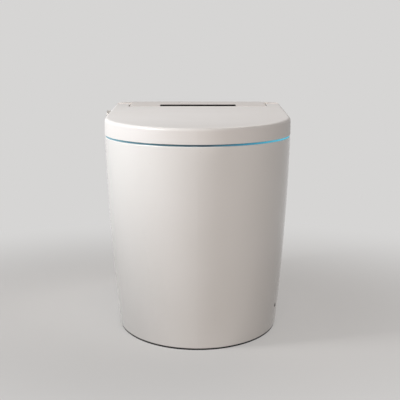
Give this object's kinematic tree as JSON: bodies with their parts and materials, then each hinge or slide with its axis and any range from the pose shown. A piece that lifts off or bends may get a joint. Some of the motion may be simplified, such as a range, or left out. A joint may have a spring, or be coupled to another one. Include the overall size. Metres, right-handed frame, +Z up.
{
  "type": "smart toilet",
  "caption": "Floor-standing white smart toilet, D-shaped and tapering to the floor, with a lit seam under its deep lid, heated seat, wash wands, dryer, display and side knob.",
  "frame": {"origin": "centre of the drain outlet, at the floor", "axes": "+Z up, +Y towards the wall behind, so the lid's front faces -Y, and +X to the left hand of a sitting user"},
  "size_m": [0.423, 0.69, 0.4569],
  "materials": {
    "glazed_ceramic": "glossy white glaze",
    "lid_plastic": "satin white moulding",
    "seat_plastic": "smooth white moulding",
    "housing_plastic": "satin warm white moulding",
    "tray_plastic": "moulded, matt grey white",
    "dark_plastic": "moulded, matt black",
    "display_glass": "polished black window",
    "light_plastic": "lit blue light guide",
    "rubber": "matt rubber",
    "silicone": "white silicone rubber",
    "knob_metal": "satin plated",
    "steel": "zinc-plated",
    "stainless": "stainless, satin",
    "brass": "machined",
    "circuit_board": "solder-masked board",
    "foil": "heating foil",
    "copper_can": "cast body"
  },
  "bodies": {
    "base": {"ceramic_pedestal": "glazed_ceramic", "foot_seal": "rubber", "drain_seal": "rubber", "floor_brackets": "steel", "side_screws": "steel", "side_screw_caps": "lid_plastic", "foot_sensor": "display_glass", "light_guide": "light_plastic", "hinge_housing": "housing_plastic", "display_window": "display_glass", "display_board": "circuit_board", "hinge_drives": "dark_plastic", "hinge_pins": "steel", "rear_housing": "housing_plastic", "cover_screws": "stainless", "knob_bezel": "knob_metal", "knob_encoder": "dark_plastic", "chassis_tray": "tray_plastic", "tray_screws": "stainless", "wash_hood": "housing_plastic", "wand_cradle": "tray_plastic", "wand_motors": "steel", "blower_volute": "dark_plastic", "blower_motor": "steel", "dryer_duct": "dark_plastic", "flush_tank": "tray_plastic", "flush_pump": "dark_plastic", "flush_pipe": "rubber", "water_heater": "copper_can", "inlet_valve": "dark_plastic", "water_inlet": "brass", "power_supply": "copper_can", "control_board": "circuit_board", "cord_gland": "dark_plastic"},
    "seat": {"seat_shell": "seat_plastic", "seat_base": "seat_plastic", "seat_heating_foil": "foil", "seat_bumpers": "silicone"},
    "lid": {"lid_shell": "lid_plastic", "lid_panel": "lid_plastic", "lid_bumpers": "silicone"},
    "front_wash_wand": {"front_wand": "stainless"},
    "rear_wash_wand": {"rear_wand": "stainless"},
    "flap": {"dryer_flap": "housing_plastic"},
    "knob": {"side_knob": "knob_metal"},
    "fan": {"blower_impeller": "tray_plastic"}
  },
  "joints": [
    {"name": "seat_hinge", "type": "hinge", "parent": "base", "child": "seat", "pos_m": [0, 0.179, 0.43575], "axis": [-1, 0, 0], "range_deg": [0, 100]},
    {"name": "lid_hinge", "type": "hinge", "parent": "seat", "child": "lid", "pos_m": [0, 0.179, 0.43575], "axis": [1, 0, 0], "range_deg": [-100, 0]},
    {"name": "front_wand_slide", "type": "slide", "parent": "base", "child": "front_wash_wand", "axis": [0, -0.9744, -0.225], "range_m": [0, 0.105]},
    {"name": "rear_wand_slide", "type": "slide", "parent": "base", "child": "rear_wash_wand", "axis": [0, -0.9744, -0.225], "range_m": [0, 0.105]},
    {"name": "dryer_flap_hinge", "type": "hinge", "parent": "base", "child": "flap", "pos_m": [0.05, 0.05038, 0.37583], "axis": [-1, 0, 0], "range_deg": [0, 60]},
    {"name": "knob_turn", "type": "hinge", "parent": "base", "child": "knob", "pos_m": [-0.214, 0.21925, 0.425], "axis": [-1, 0, 0], "continuous": true},
    {"name": "impeller_spin", "type": "hinge", "parent": "base", "child": "fan", "pos_m": [0.047, 0.222, 0.3385], "axis": [1, 0, 0], "continuous": true}
  ]
}
